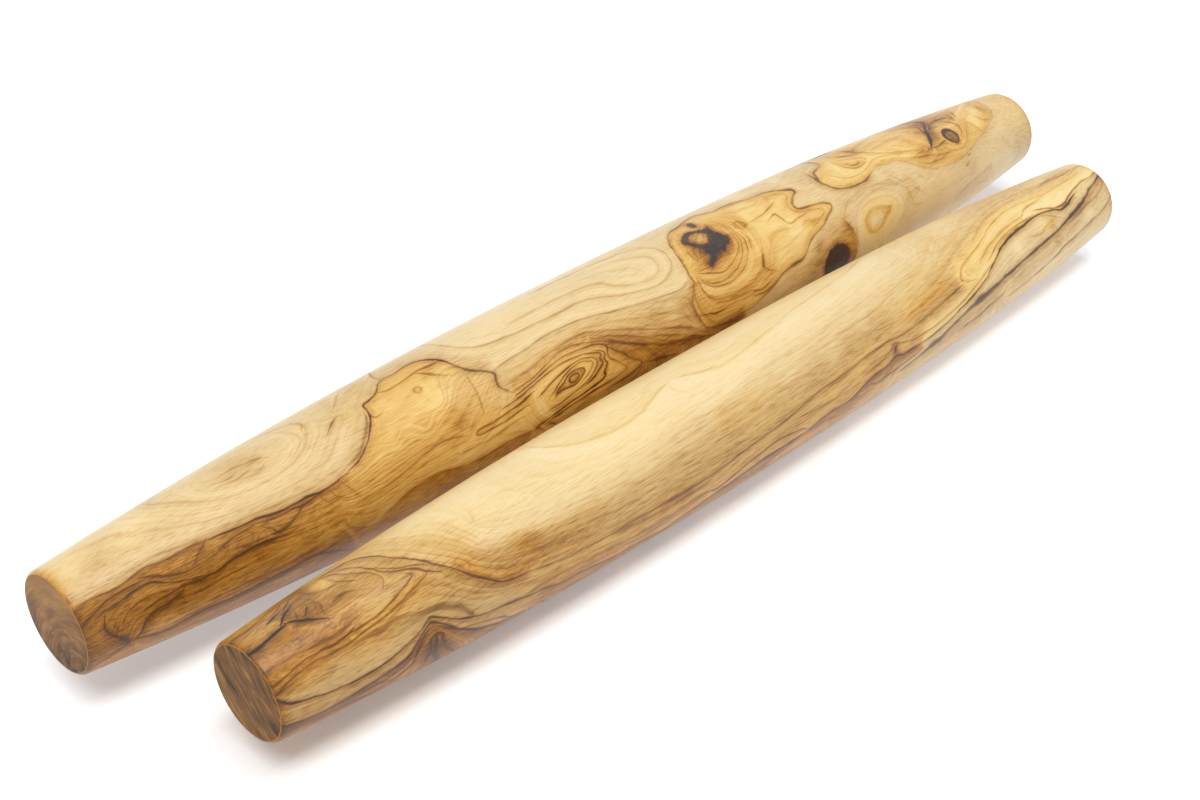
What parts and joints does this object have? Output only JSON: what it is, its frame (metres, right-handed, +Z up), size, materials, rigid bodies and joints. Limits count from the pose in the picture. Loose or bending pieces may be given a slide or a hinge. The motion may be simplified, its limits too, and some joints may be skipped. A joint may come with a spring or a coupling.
{
  "type": "rolling pin pair",
  "caption": "Long and short tapered solid rolling pins, turned from figured olive wood with flat ends and a full belly, lying side by side for rolling out dough by hand.",
  "frame": {"origin": "on the table, under the middle of the pair's bounding box", "axes": "+X along both pins, +Y from the short pin to the long pin, +Z up from the table"},
  "size_m": [0.45, 0.104, 0.0509],
  "materials": {
    "olive_wood": "turned, sanded smooth and oiled to a satin sheen, with dark veins, knots and golden heartwood in cream sapwood"
  },
  "bodies": {
    "long_pin": {"long_pin": "olive_wood"},
    "short_pin": {"short_pin": "olive_wood"}
  },
  "joints": [
    {"name": "short_pin_roll", "type": "hinge", "parent": "long_pin", "child": "short_pin", "pos_m": [-0.0048, -0.0296, 0.02244], "axis": [1, 0, 0], "continuous": true}
  ]
}
